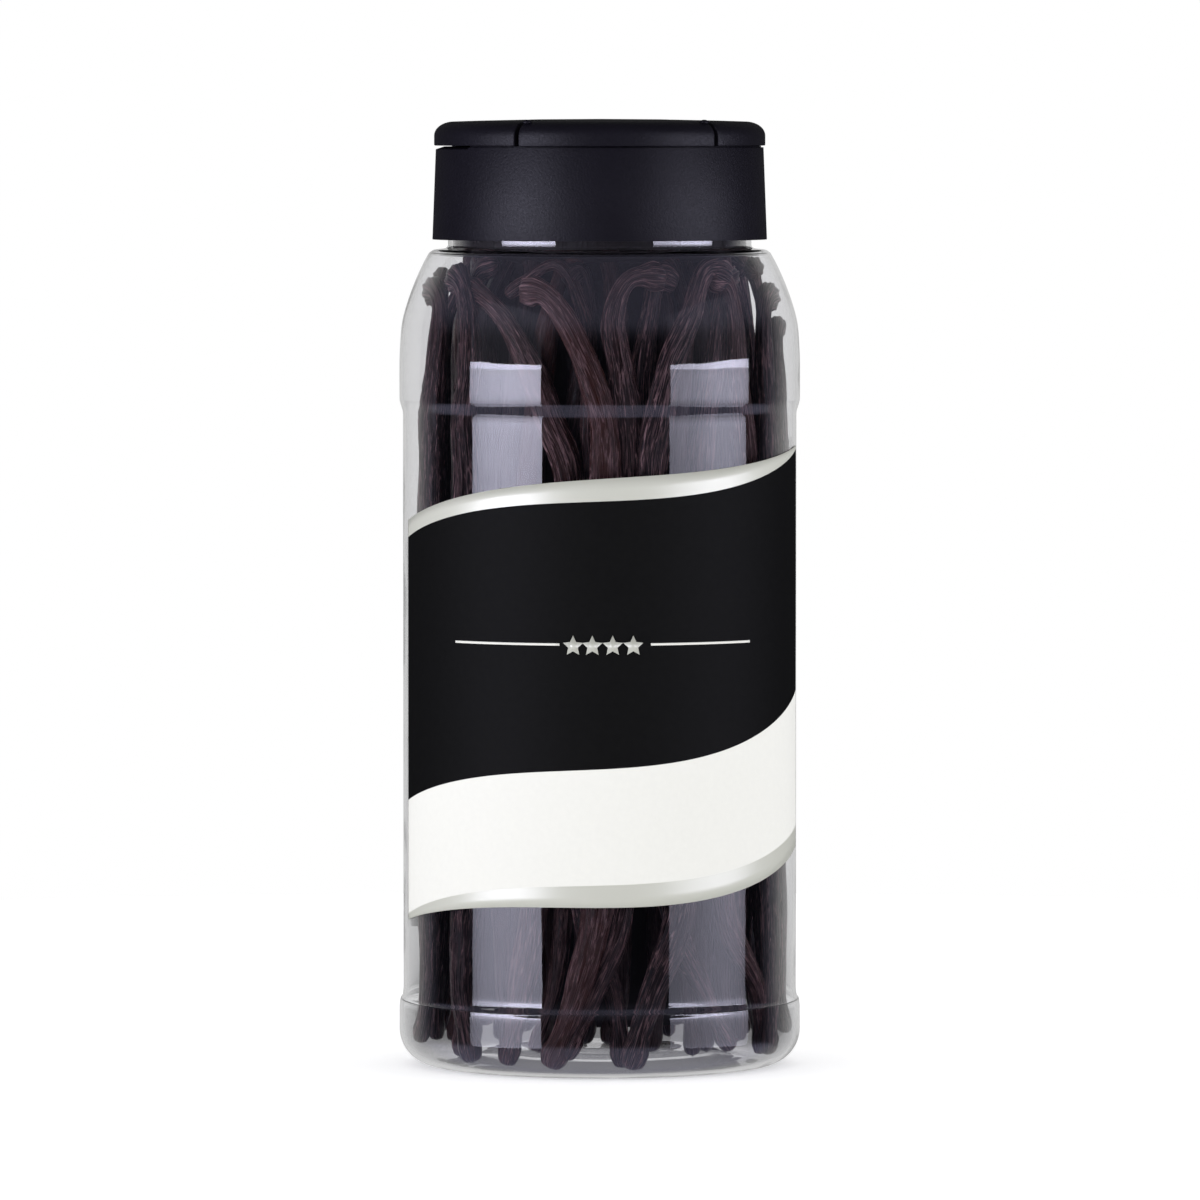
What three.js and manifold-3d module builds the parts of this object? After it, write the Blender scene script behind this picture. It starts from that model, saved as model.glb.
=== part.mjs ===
// A shut jar of vanilla pods, in millimetres. +Z is up and -Y is the front. The origin is the middle
// of the jar's base, on the surface that it stands on. An angle round the jar is 0 at the front and
// grows towards +X.
import * as THREE from 'three';
import { mergeVertices } from 'three/addons/utils/BufferGeometryUtils.js';
import Module from 'manifold-3d';

const wasm = await Module();
wasm.setup();

// Driving sizes of the jar
const SEGMENTS = 48; // flat sides round every turned piece
const JAR_R = 40.1; // base bulge and upper band, the widest places
const BAND_R = 40.0; // band above the label panel
const PANEL_R = 39.3; // recessed panel that carries the labels
const WALL = 0.8; // blown wall
const CORNER_R = 7.2; // round between the base and the side
const FOOT_OUT_R = JAR_R - CORNER_R; // outside of the flat standing ring
const FOOT_IN_R = 29.0; // inside of the flat standing ring
const PUSH_UP = 3.2; // how far the middle of the base is pushed up
const BASE_TOP = 13.2; // top of the base bulge
const PANEL_BOTTOM = 14.4;
const PANEL_TOP = 130.4;
const BAND_BOTTOM = 133.1;
const SHOULDER_START = 145.3;
const NECK_R = 30.3;
const NECK_WALL = 1.6;
const NECK_BOTTOM = 163.7;
const MOUTH_Z = 181.0;

// Driving sizes of the cap
const CAP_BOTTOM = 165.0;
const CAP_BOTTOM_R = 33.4;
const CAP_TOP_R = 32.7;
const CAP_WALL = 1.2;
const DECK_BOTTOM = 181.3; // the deck shuts the mouth
const DECK_TOP = 183.35;
const LID_BOTTOM = 183.7; // the lid is the middle bridge with a flap on each side of it
const LID_TOP = 189.0;
const LID_R = 33.05;
const LID_EDGE_IN = 4.0; // round of the lid's edge, measured inwards and upwards
const LID_EDGE_UP = 2.8;
const GROOVE_R = 32.1; // bottom of the thin groove between the deck and the bridge
const SEAT_R = 32.6; // low rim on the deck that the flaps close on
const SEAT_TOP = LID_BOTTOM - 0.1;
const NOTCH_R = 30.5; // the finger notch under the left flap slopes down from here to the outside
const NOTCH_DEPTH = 1.5;
const NOTCH_SPREAD = 60; // degrees
const SLIT = 1.0; // gap between a flap and the bridge
const FLAP_SPREAD = 106; // degrees between the two slits of one flap
const HINGE_X = 14.0; // distance of each hinge line from the middle
const FLAP_ANGLES = { left: -82.8, right: 97.2 };

// Driving sizes of the labels. Each edge is a wave round the jar: a middle height, the shares that
// rise to the right and to the front, and a second share that steepens it at the jar's sides.
const LABEL_GAP = 0.15;
const LABEL_THICK = 0.25;
const LABEL_TOP = { middle: 115.6, right: 8.95, front: 2.9, steepen: -3.2 };
const LABEL_BOTTOM = { middle: 36.8, right: 8.9, front: -2.6, steepen: -4.4 };
const FRONT_LABEL = [-75, 82.5]; // degrees
const BACK_LABEL = [97.5, 262.5];

// Driving sizes of the pods
const CORE = [ // [radius, height] points of the heap's core
  [0, 8], [29.5, 8], [32.5, 13], [32.5, 139], [28.5, 149], [23, 158], [0, 160],
];
const POD_HALF_WIDTH = 3.7;
const POD_HALF_THICK = 3.0;
const POD_SIDES = 6;
const POD_RING = [ // height, distance from the jar's axis that a pod's middle line keeps there
  [0, 31], [1.5, 33.2], [3.5, 35], [5.5, 36], [10, 35.2], [16, 34.2], [33, 33.9], [140, 33.9],
  [150, 33.6], [156, 33.2], [160, 30.5], [162, 27.5], [164, 26],
];
const POD_LEVELS = [16, 33, 118, 130, 140, 150]; // heights at which a pod's angles are given
const POD_GIRTH = [ // share of the length from foot to tip, share of the full width
  [0, 0], [0.008, 0.56], [0.045, 0.58], [0.09, 0.76], [0.17, 0.95], [0.3, 1], [0.7, 0.97],
  [0.8, 0.9], [0.87, 0.8], [0.92, 0.66], [0.962, 0.5], [0.982, 0.56], [0.995, 0.45], [1, 0],
];

// Pods that show at the front, from left to right: foot (angle, height), angles at the levels, bend
// near the top, tip, how far the whole pod is moved towards the axis, and width
const FRONT_PODS = [
  [[-84, 5.6], [-78, -77, -75, -74, -69, -65], [-69, 153.9], [-84, 156.2], 0, 0.95],
  [[-70, 6.5], [-64, -62, -60, -58, -60, -62], [-57, 158.5], [-50, 160.5], 3.8, 0.8],
  [[-48, 2], [-53, -52, -50, -52, -49, -50], [-54, 156.2], [-66, 158.4], 0, 0.9],
  [[-36, 1.6], [-29, -24, -11, -18, -25, -37], [-46, 153.6], [-57, 155.5], 2, 0.95],
  [[-25, 5], [-18, -14, -4, -4, -4, -6], [-19, 160.2], [-40, 154], 4.5, 0.62],
  [[-17, 1.8], [-8, -1, 2, 1, -4, -12], [-19, 154.6], [-28, 155.3], 0, 1],
  [[9, 1.4], [5, -5, 15, 15, 16, 19], [24, 157.5], [31, 156.1], 3.6, 0.85],
  [[-12, 3.6], [-3, 7, 10, 9, 7, 5], [11, 157.2], [25, 157.7], 1.5, 0.95],
  [[12, 2.6], [17, 23, 17, 20, 24, 32], [42, 158.8], [51, 157], 0, 1],
  [[56, 4], [43, 28, 41, 44, 48, 52], [58, 156.5], [70, 158], 4, 0.9],
  [[76, 2.2], [68, 48, 61, 58, 55, 54], [50, 156.4], [42, 157.2], 0.8, 0.85],
  [[60, 6], [66, 66, 64, 66, 70, 70], [65, 157.5], [55, 161], 3.6, 0.6],
  [[72, 2.4], [73, 72, 72, 71, 69, 67], [72, 153.4], [84, 155.8], 0, 0.9],
  [[93, 6], [88, 87, 88, 86, 84, 86], [88, 146.5], [94, 149.6], 0, 0.85],
];
const BACK_PODS = 15; // evenly spread behind, between these two angles
const BACK_SPREAD = [100, 262];
const BACK_STRAY = 5; // degrees that a back pod may stray from its place
const RANDOM_START = 3154;

const radians = THREE.MathUtils.degToRad;

let randomState = RANDOM_START;
function random(low, high) {
  randomState = (randomState * 16807) % 2147483647;
  return low + ((high - low) * randomState) / 2147483647;
}

function around(radius, angle, z) {
  return new THREE.Vector3(radius * Math.sin(radians(angle)), -radius * Math.cos(radians(angle)), z);
}

// A closed geometry with shared vertices and no triangle that has shrunk to a line at a pole
function welded(geometry) {
  for (const name of Object.keys(geometry.attributes)) {
    if (name !== 'position') geometry.deleteAttribute(name);
  }
  const merged = mergeVertices(geometry, 1e-4);
  const index = [];
  for (let i = 0; i < merged.index.count; i += 3) {
    const corners = [0, 1, 2].map((k) => merged.index.getX(i + k));
    if (new Set(corners).size === 3) index.push(...corners);
  }
  merged.setIndex(index);
  return merged;
}

// [radius, height] points turned round the Z axis
function turned(profile, segments = SEGMENTS) {
  const points = profile.map(([radius, height]) => new THREE.Vector2(radius, height));
  const geometry = new THREE.LatheGeometry(points, segments);
  return welded(geometry.rotateX(Math.PI / 2));
}

function toSolid(geometry) {
  const vertProperties = new Float32Array(geometry.attributes.position.array);
  const triVerts = new Uint32Array(geometry.index.array);
  return new wasm.Manifold(new wasm.Mesh({ numProp: 3, vertProperties, triVerts }));
}

function toGeometry(solid) {
  const mesh = solid.getMesh();
  const geometry = new THREE.BufferGeometry();
  geometry.setAttribute('position', new THREE.BufferAttribute(mesh.vertProperties, 3));
  geometry.setIndex(new THREE.BufferAttribute(mesh.triVerts, 1));
  return geometry;
}

// Points of a quarter of an ellipse about a middle, from one angle to another
function arc([middleR, middleZ], [sizeR, sizeZ], from, to, steps) {
  const points = [];
  for (let i = 0; i <= steps; i += 1) {
    const angle = radians(from + ((to - from) * i) / steps);
    points.push([middleR + sizeR * Math.cos(angle), middleZ + sizeZ * Math.sin(angle)]);
  }
  return points;
}

// The jar: one blown shell with an open mouth, a pushed-up base and a rounded shoulder
function jar() {
  const corner = arc([FOOT_OUT_R, CORNER_R], [CORNER_R, CORNER_R], -90, 0, 5);
  const shoulder = [
    [39.9, SHOULDER_START], [39.3, 149.4], [38.3, 152.9], [36.7, 157.2], [35.3, 160.1], [33.9, 162.5],
  ];
  const outside = [
    [0, PUSH_UP], [20, PUSH_UP - 0.6], [FOOT_IN_R, 0], ...corner,
    [JAR_R, BASE_TOP], [PANEL_R, PANEL_BOTTOM], [PANEL_R, PANEL_TOP], [BAND_R, BAND_BOTTOM],
    ...shoulder, [31.3, NECK_BOTTOM - 0.2], [NECK_R, NECK_BOTTOM + 0.6], [NECK_R, MOUTH_Z],
  ];
  const innerCorner = arc([FOOT_OUT_R, CORNER_R], [CORNER_R - WALL, CORNER_R - WALL], 0, -90, 3);
  const inside = [
    [NECK_R - NECK_WALL, MOUTH_Z], [NECK_R - NECK_WALL, NECK_BOTTOM - 0.6],
    ...[...shoulder].reverse().map(([radius, height]) => [radius - WALL, height - WALL / 2]),
    [PANEL_R - WALL, PANEL_TOP], [PANEL_R - WALL, PANEL_BOTTOM],
    ...innerCorner, [FOOT_IN_R, WALL + 0.2], [20, PUSH_UP + 0.5], [0, PUSH_UP + 1.1],
  ];
  return turned([...outside, ...inside]);
}

// The lid's disc, slightly domed, with a rounded edge
function lidDisc() {
  const edge = arc([LID_R - LID_EDGE_IN, LID_TOP - 0.5 - LID_EDGE_UP], [LID_EDGE_IN, LID_EDGE_UP], 0, 90, 4);
  const top = [[16, LID_TOP - 0.15], [0, LID_TOP]];
  return toSolid(turned([[0, LID_BOTTOM], [LID_R, LID_BOTTOM], ...edge, ...top]));
}

// An upright prism over one flap: two radial sides and a hinge line, each moved in by `inset`
function flapPrism(angle, inset, bottom, top) {
  const half = radians(FLAP_SPREAD / 2);
  const reach = LID_R + 5;
  const sideAt = (x) => (x * Math.sin(half) - inset) / Math.cos(half);
  const hinge = HINGE_X + inset;
  const plan = new THREE.Shape([
    new THREE.Vector2(hinge, -sideAt(hinge)), new THREE.Vector2(reach, -sideAt(reach)),
    new THREE.Vector2(reach, sideAt(reach)), new THREE.Vector2(hinge, sideAt(hinge)),
  ]);
  const geometry = new THREE.ExtrudeGeometry(plan, { depth: top - bottom, bevelEnabled: false });
  geometry.rotateZ(radians(angle - 90)).translate(0, 0, bottom);
  return toSolid(welded(geometry));
}

// An upright sector of a ring between two radii and two angles
function ringSector([innerR, outerR], [from, to], [bottom, top], steps) {
  const plan = new THREE.Shape();
  for (let i = 0; i <= steps; i += 1) {
    const point = around(outerR, from + ((to - from) * i) / steps, 0);
    if (i === 0) plan.moveTo(point.x, point.y);
    else plan.lineTo(point.x, point.y);
  }
  for (let i = steps; i >= 0; i -= 1) {
    const point = around(innerR, from + ((to - from) * i) / steps, 0);
    plan.lineTo(point.x, point.y);
  }
  const geometry = new THREE.ExtrudeGeometry(plan, { depth: top - bottom, bevelEnabled: false });
  return toSolid(welded(geometry.translate(0, 0, bottom)));
}

// The wedge of space under the left flap's rim that a finger lifts it by
function notch() {
  const reach = LID_R + 2;
  const ring = toSolid(turned([
    [NOTCH_R, LID_BOTTOM], [reach, LID_BOTTOM - NOTCH_DEPTH], [reach, LID_BOTTOM + 0.1], [NOTCH_R, LID_BOTTOM],
  ]));
  const middle = FLAP_ANGLES.left;
  const angles = [middle - NOTCH_SPREAD / 2, middle + NOTCH_SPREAD / 2];
  return ring.intersect(ringSector([NOTCH_R - 5, reach + 5], angles, [DECK_BOTTOM, LID_TOP], 8));
}

// The cap: a skirt with a deck that shuts the mouth, and the fixed bridge between the two flaps
function cap() {
  const skirt = toSolid(turned([
    [0, DECK_BOTTOM], [CAP_TOP_R - CAP_WALL, DECK_BOTTOM], [CAP_BOTTOM_R - CAP_WALL, CAP_BOTTOM],
    [CAP_BOTTOM_R, CAP_BOTTOM], [CAP_TOP_R, DECK_TOP], [SEAT_R, DECK_TOP], [SEAT_R, SEAT_TOP],
    [SEAT_R - 1.2, SEAT_TOP], [SEAT_R - 1.2, DECK_TOP], [0, DECK_TOP],
  ]));
  const foot = toSolid(turned([
    [0, DECK_TOP - 0.5], [GROOVE_R, DECK_TOP - 0.5], [GROOVE_R, LID_BOTTOM + 0.5], [0, LID_BOTTOM + 0.5],
  ]));
  let bridge = foot.add(lidDisc());
  for (const angle of Object.values(FLAP_ANGLES)) {
    bridge = bridge.subtract(flapPrism(angle, -SLIT / 2, DECK_TOP, LID_TOP + 5));
  }
  return toGeometry(skirt.add(bridge).subtract(notch()));
}

// A flap: the part of the lid's disc between its two slits and its hinge line
function flap(side) {
  const prism = flapPrism(FLAP_ANGLES[side], SLIT / 2, LID_BOTTOM - 1, LID_TOP + 5);
  return toGeometry(lidDisc().intersect(prism));
}

function waveHeight(wave, angle) {
  const turn = radians(angle);
  return wave.middle + wave.right * Math.sin(turn) + wave.front * Math.cos(turn)
    + wave.steepen * Math.sin(2 * turn);
}

// A label: a thin curved skin on the panel. A flat strip of boxes is bent round the jar, and its
// upper and lower edges are moved to their waves.
function label([from, to]) {
  const columns = Math.round((to - from) / (360 / SEGMENTS));
  const strip = welded(new THREE.BoxGeometry(to - from, LABEL_THICK, 1, columns, 1, 1));
  const position = strip.attributes.position;
  for (let i = 0; i < position.count; i += 1) {
    const angle = (from + to) / 2 + position.getX(i);
    const radius = PANEL_R + LABEL_GAP + LABEL_THICK / 2 - position.getY(i);
    const wave = position.getZ(i) > 0 ? LABEL_TOP : LABEL_BOTTOM;
    const point = around(radius, angle, waveHeight(wave, angle));
    position.setXYZ(i, point.x, point.y, point.z);
  }
  return strip;
}

// The value at x of a line through [x, y] points, which stays level beyond its ends
function valueAt(line, x) {
  const next = line.findIndex(([end]) => end > x);
  if (next === 0) return line[0][1];
  if (next < 0) return line[line.length - 1][1];
  const [[x0, y0], [x1, y1]] = [line[next - 1], line[next]];
  return THREE.MathUtils.mapLinear(x, x0, x1, y0, y1);
}

// The middle line of a pod, from its foot to its hooked tip
function podPath([foot, angles, bend, tip, inward]) {
  const stations = angles.map((angle, i) => [angle, POD_LEVELS[i]])
    .filter(([, z]) => z > foot[1] + 4 && z < bend[1] - 3);
  return new THREE.CatmullRomCurve3([foot, ...stations, bend, tip]
    .map(([angle, z]) => around(valueAt(POD_RING, z) - inward, angle, z)));
}

// A pod: a straight turned spindle, flattened and bent along its middle line
function pod(shape) {
  const path = podPath(shape);
  const width = shape[5];
  const spindle = turned(POD_GIRTH.map(([share, girth]) => [girth, share]), POD_SIDES);
  const position = spindle.attributes.position;
  for (let i = 0; i < position.count; i += 1) {
    const share = Math.min(Math.max(position.getZ(i), 0), 1);
    const middle = path.getPointAt(share);
    const along = path.getTangentAt(share);
    const out = new THREE.Vector3(middle.x, middle.y, 0).normalize();
    out.addScaledVector(along, -out.dot(along)).normalize();
    const side = new THREE.Vector3().crossVectors(along, out);
    middle.addScaledVector(out, position.getX(i) * POD_HALF_THICK * width);
    middle.addScaledVector(side, position.getY(i) * POD_HALF_WIDTH * width);
    position.setXYZ(i, middle.x, middle.y, middle.z);
  }
  return toSolid(spindle);
}

// Pods at even steps round the back, each with its own lean, hook and girth
function backPods() {
  const [from, to] = BACK_SPREAD;
  const pods = [];
  for (let i = 0; i < BACK_PODS; i += 1) {
    const angle = from + ((to - from) * (i + 0.5)) / BACK_PODS;
    const stray = [
      [3, angle + random(-BACK_STRAY, BACK_STRAY)],
      [118, angle + random(-BACK_STRAY, BACK_STRAY)],
      [150, angle + random(-BACK_STRAY, BACK_STRAY)],
    ];
    const high = stray[2][1];
    const foot = [stray[0][1] + random(-5, 5), random(2, 6)];
    const top = random(155, 162);
    const hook = random(5, 15) * (random(-1, 1) < 0 ? -1 : 1);
    const tip = [high + hook, top - random(-1, 3)];
    const angles = POD_LEVELS.map((z) => valueAt(stray, z));
    pods.push([foot, angles, [high + 0.5 * hook, top], tip, 0, random(0.8, 1)]);
  }
  return pods;
}

// The one largest body of a solid: what is sealed inside is filled, and loose scraps are dropped.
// Slivers thinner than a fiftieth of a millimetre go too.
function largest(solid) {
  return solid.decompose().reduce((best, body) => (body.volume() > best.volume() ? body : best));
}

// The heap: a smaller core with the pods that show fused on
function vanillaPods() {
  const core = toSolid(turned(CORE, 24));
  const heap = [...FRONT_PODS, ...backPods()].reduce((joined, shape) => joined.add(pod(shape)), core);
  return toGeometry(largest(largest(heap).simplify(0.02)));
}

function part(name, geometry, material) {
  const mesh = new THREE.Mesh(geometry, new THREE.MeshStandardMaterial(material));
  mesh.name = name;
  group.add(mesh);
}

const clearPlastic = { color: 0xe6ebee, roughness: 0.06, metalness: 0, transparent: true, opacity: 0.3 };
const blackPlastic = { color: 0x1b1a1f, roughness: 0.45, metalness: 0 };
const printedFilm = { color: 0x171717, roughness: 0.5, metalness: 0 };
const curedPod = { color: 0x38292a, roughness: 0.5, metalness: 0 };

const group = new THREE.Group();
part('jar', jar(), clearPlastic);
part('cap', cap(), blackPlastic);
part('cap_flap_left', flap('left'), blackPlastic);
part('cap_flap_right', flap('right'), blackPlastic);
part('label_front', label(FRONT_LABEL), printedFilm);
part('label_back', label(BACK_LABEL), printedFilm);
part('vanilla_pods', vanillaPods(), curedPod);

export default group;
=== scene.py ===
"""A shut jar of vanilla pods in a bright studio.

Shapes are modelled in millimetres and brought to metres when a piece is finished. +Z is up and -Y is
the front. An angle round the jar is 0 at the front and grows towards +X.
"""

import math

import bmesh
import bpy
import numpy as np
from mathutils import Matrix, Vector


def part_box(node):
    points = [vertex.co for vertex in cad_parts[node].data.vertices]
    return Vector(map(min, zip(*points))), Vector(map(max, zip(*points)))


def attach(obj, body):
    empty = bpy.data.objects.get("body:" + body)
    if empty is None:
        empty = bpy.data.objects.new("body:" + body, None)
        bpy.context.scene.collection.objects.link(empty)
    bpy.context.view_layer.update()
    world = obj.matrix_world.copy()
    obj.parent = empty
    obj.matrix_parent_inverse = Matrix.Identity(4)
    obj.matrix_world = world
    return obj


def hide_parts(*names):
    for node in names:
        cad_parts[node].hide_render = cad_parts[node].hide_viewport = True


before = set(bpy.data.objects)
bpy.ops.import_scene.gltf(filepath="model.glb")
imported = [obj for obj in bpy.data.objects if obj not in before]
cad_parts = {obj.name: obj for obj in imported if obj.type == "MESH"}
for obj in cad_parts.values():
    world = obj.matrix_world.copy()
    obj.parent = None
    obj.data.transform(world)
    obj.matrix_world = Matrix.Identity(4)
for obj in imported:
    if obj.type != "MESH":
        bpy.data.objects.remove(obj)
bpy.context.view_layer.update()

MM = 0.001
TURN_STEPS = 160  # steps of a full turn


def lowest(node):
    """The lowest corner of a solid of the frame, in millimetres."""
    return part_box(node)[0] / MM


def highest(node):
    """The highest corner of a solid of the frame, in millimetres."""
    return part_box(node)[1] / MM


# Jar
JAR_R = highest("jar").x
MOUTH_Z = highest("jar").z
BAND_R = 40.0
PANEL_R = 39.3
WALL = 0.8
CORNER_R = 7.2
FOOT_OUT_R = JAR_R - CORNER_R
FOOT_IN_R = 29.0
PUSH_UP = 3.2
NECK_R = 30.3

# Cap
CAP_BOTTOM = lowest("cap").z
CAP_BOTTOM_R = highest("cap").x
CAP_TOP_R = 32.7
CAP_WALL = 1.2
DECK_BOTTOM = 181.3
DECK_TOP = 183.35
LID_BOTTOM = lowest("cap_flap_right").z
LID_TOP = highest("cap").z
LID_R = 33.05
LID_SHOULDER_DROP = 0.5  # from the lid's top to where its rounded edge begins
LID_EDGE_IN = 4.0  # the lid's rounded edge: how far in and how far up it goes
LID_EDGE_UP = 2.8
LID_DOME = ((24, 0.34), (12, 0.08), (0, 0))  # radius, drop below the lid's top
GROOVE_R = 30.6
NOTCH_R = 30.5  # the finger notch slopes down from here to the outside
NOTCH_DEPTH = 1.5
NOTCH_SPREAD = 60
SEAT_R = 32.2  # a low rim on the deck that the flaps close on
SEAT_TOP = LID_BOTTOM - 0.05
SEAT_THICK = 1.2
SLIT = 1.0
SKIRT_ROUNDING = 0.18
LID_ROUNDING = 0.22
FLAP_SPREAD = 106
HINGE_X = 14.0
FLAP_ANGLES = {"left": -82.8, "right": 97.2}
BUMP_ANGLES = (-27.6, 42.0)  # small stops for the flaps, beside the slits
BUMP_R = 30.8
BUMP_SIZE = (0.9, 0.9, 0.5)
BUMP_DROP = 0.62  # below the lid's top

# Labels. Each line on them is a wave round the jar: its middle height, what it gains to the right and
# to the front, and a share that steepens it at the jar's sides.
LABEL_TOP = (115.6, 8.95, 2.9, -3.2)
BLACK_TOP = (113.9, 10.75, 0.2, -4.65)
BLACK_BOTTOM = (64.05, 13.1, -2.6, -5.6)
WHITE_BOTTOM = (38.9, 10.75, -0.3, -4.85)
LABEL_BOTTOM = (36.8, 8.9, -2.6, -4.4)
FRONT_LABEL = (-75, 82.5)
BACK_LABEL = (97.5, 262.5)
SILVER_BAND = 4.2  # width of the metallic bands on the back label
LABEL_THICK = 0.12
LABEL_GAP = 0.03
BAND_ROWS = (2, 10, 16, 2)  # rows of faces in each band of the print, from the bottom up
LABEL_COLUMNS = 110
RULES = ((-46, -11.4), (14.6, 48.5))  # from one angle to another
RULE_HEIGHT = 86.0
RULE_WIDTH = 0.45
STARS = (-7.6, -2.1, 3.7, 9.6)
STAR_HEIGHT = 85.7
STAR_R = 2.1
STAR_WAIST = 0.48

# Pods
POD_HALF_WIDTH = 3.7
POD_HALF_THICK = 3.0
POD_RING = (  # height, radius that a pod's middle keeps there
    (0, 31), (1.5, 33.2), (3.5, 35), (5.5, 36), (10, 35.2), (16, 34.2), (33, 33.9), (140, 33.9), (150, 33.6),
    (156, 33.2), (160, 30.5), (162, 27.5), (164, 26),
)
POD_LEVELS = (16, 33, 118, 130, 140, 150)  # heights at which a pod's angles are given
POD_GIRTH = (  # share of the length from foot to tip, share of the full width
    (0, 0), (0.002, 0.36), (0.008, 0.66), (0.02, 0.78), (0.045, 0.6), (0.09, 0.76), (0.17, 0.95), (0.3, 1),
    (0.5, 1), (0.7, 0.97), (0.8, 0.9), (0.87, 0.8), (0.92, 0.68), (0.95, 0.6), (0.966, 0.66), (0.982, 0.92),
    (0.993, 0.82), (0.998, 0.48), (1, 0),
)
FRONT_PODS = (  # foot (angle, height), angles at the levels, bend, tip, place inward, width
    ((-84, 4.4), (-78, -77, -75, -74, -69, -65), (-68, 152.6), (-80, 155.2), -0.6, 1.0),
    ((-68, 1.8), (-64, -62, -60, -58, -60, -62), (-57, 158.5), (-50, 160.5), 3.8, 0.8),
    ((-48, 2), (-53, -52, -50, -52, -49, -50), (-54, 155.8), (-64, 158.2), 0, 1.0),
    ((-36, 1.6), (-29, -24, -11, -18, -25, -37), (-46, 153.6), (-57, 155.5), 2, 0.95),
    ((-25, 5), (-18, -14, -4, -4, -4, -6), (-19, 160.2), (-40, 154), 4.5, 0.62),
    ((-17, 1.8), (-8, -1, 2, 1, -4, -12), (-19, 154.6), (-28, 155.3), 0, 1.0),
    ((9, 1.4), (5, -5, 15, 15, 16, 19), (24, 157.5), (31, 156.1), 3.6, 0.85),
    ((-12, 3.6), (-3, 7, 10, 9, 7, 5), (11, 157.2), (25, 157.7), 1.5, 0.95),
    ((10, 1.6), (17, 28, 17, 20, 24, 32), (42, 158.8), (51, 157), 0, 1.0),
    ((56, 4), (43, 28, 41, 44, 48, 52), (58, 156.5), (70, 158), 4, 0.9),
    ((76, 2.2), (68, 48, 61, 58, 55, 54), (50, 156.4), (42, 157.2), 0.8, 0.85),
    ((60, 6), (66, 66, 64, 66, 70, 70), (65, 157.5), (55, 161), 3.6, 0.6),
    ((72, 2.4), (73, 72, 72, 71, 69, 67), (71, 151.6), (81, 154.2), -0.9, 0.95),
    ((93, 6), (88, 87, 88, 86, 84, 84), (84, 145.2), (90, 148.6), -1.5, 0.9),
)
BACK_PODS = 15
BACK_SPREAD = (100, 262)
INNER_PODS = 26  # a second ring, seen between the outer pods
INNER_DEPTH = 6.2
CORE_R = 24.5
NECK_TIPS_R = 29.3  # tips pressed together in the neck
RANDOM_START = 3154

# Camera: a long lens at the height of the cap's top
EYE = Vector((0, -2080, 192)) * MM
AIM = Vector((0.06, 0, 92.9)) * MM
LENS = 312.4
SENSOR = 36

# Table and lamps
FLOOR_R = 450
LAMP_DISTANCE = 1.0  # from the jar's axis, in metres

# Softboxes: angle, width in metres, power, and brightness as a ramp over the height in metres times one
# over the width, each of (place, level) pairs. The two tall ones end at the jar's shoulder, where the jar
# mirrors their upper edge. The two upper ones only light the cap.
LEFT_SOFTBOX = {
    "angle": -56, "width": 0.84, "power": 42.2,
    "upright": (
        (-0.32, 0.26), (-0.09, 0.26), (0.09, 0.52), (0.116, 0.66), (0.127, 1), (0.157, 1), (0.158, 0.02),
        (0.7, 0.02),
    ),
    "across": ((0, 0.5), (0.12, 0.78), (0.3, 0.94), (0.6, 1), (1, 0.86)),
}
RIGHT_SOFTBOX = {
    "angle": 67, "width": 1.0, "power": 42.5,
    "upright": (
        (-0.32, 0.2), (-0.09, 0.2), (0.09, 0.36), (0.116, 0.46), (0.127, 1), (0.157, 1), (0.158, 0.02),
        (0.7, 0.02),
    ),
    "across": ((0, 0.58), (0.3, 0.76), (0.55, 1), (0.72, 1), (0.88, 0.84), (1, 0.55)),
}
LEFT_UPPER = {
    "angle": -50, "width": 0.4, "power": 2.4,
    "upright": ((0.16, 0.4), (0.4, 1), (0.8, 1)),
    "across": ((0, 1), (1, 1)),
}
RIGHT_UPPER = {
    "angle": 60, "width": 0.6, "power": 1.9,
    "upright": ((0.16, 0.4), (0.4, 1), (0.8, 1)),
    "across": ((0, 1), (1, 1)),
}


class Draw:
    """Seeded random numbers, the same in every run."""

    def __init__(self, start):
        self.state = start

    def between(self, low, high):
        self.state = self.state * 16807 % 2147483647
        return low + (high - low) * self.state / 2147483647


# Shapes


def around(radius, angle, z):
    turn = math.radians(angle)
    return (radius * math.sin(turn), -radius * math.cos(turn), z)


def arc(middle, size, start, end, steps):
    """Points of a part of an ellipse in a profile of (radius, height) points."""
    turns = np.radians(np.linspace(start, end, steps + 1))
    return [(middle[0] + size[0] * math.cos(t), middle[1] + size[1] * math.sin(t)) for t in turns]


def smooth_line(points, steps):
    """A centripetal Catmull-Rom curve through the points, with that many steps between two of them."""
    points = np.array(points, float)
    spans = np.vstack([2 * points[0] - points[1], points, 2 * points[-1] - points[-2]])
    share = np.linspace(0, 1, steps, endpoint=False)[:, None]
    line = []
    for p0, p1, p2, p3 in zip(spans, spans[1:], spans[2:], spans[3:]):
        before, span, after = (math.sqrt(np.linalg.norm(b - a)) for a, b in ((p0, p1), (p1, p2), (p2, p3)))
        start = ((p1 - p0) / before - (p2 - p0) / (before + span) + (p2 - p1) / span) * span
        end = ((p2 - p1) / span - (p3 - p1) / (span + after) + (p3 - p2) / after) * span
        cubic = (2 * p1 - 2 * p2 + start + end) * share**3
        line.append(cubic + (3 * p2 - 3 * p1 - 2 * start - end) * share**2 + start * share + p1)
    return np.vstack([*line, points[-1:]])


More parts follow.
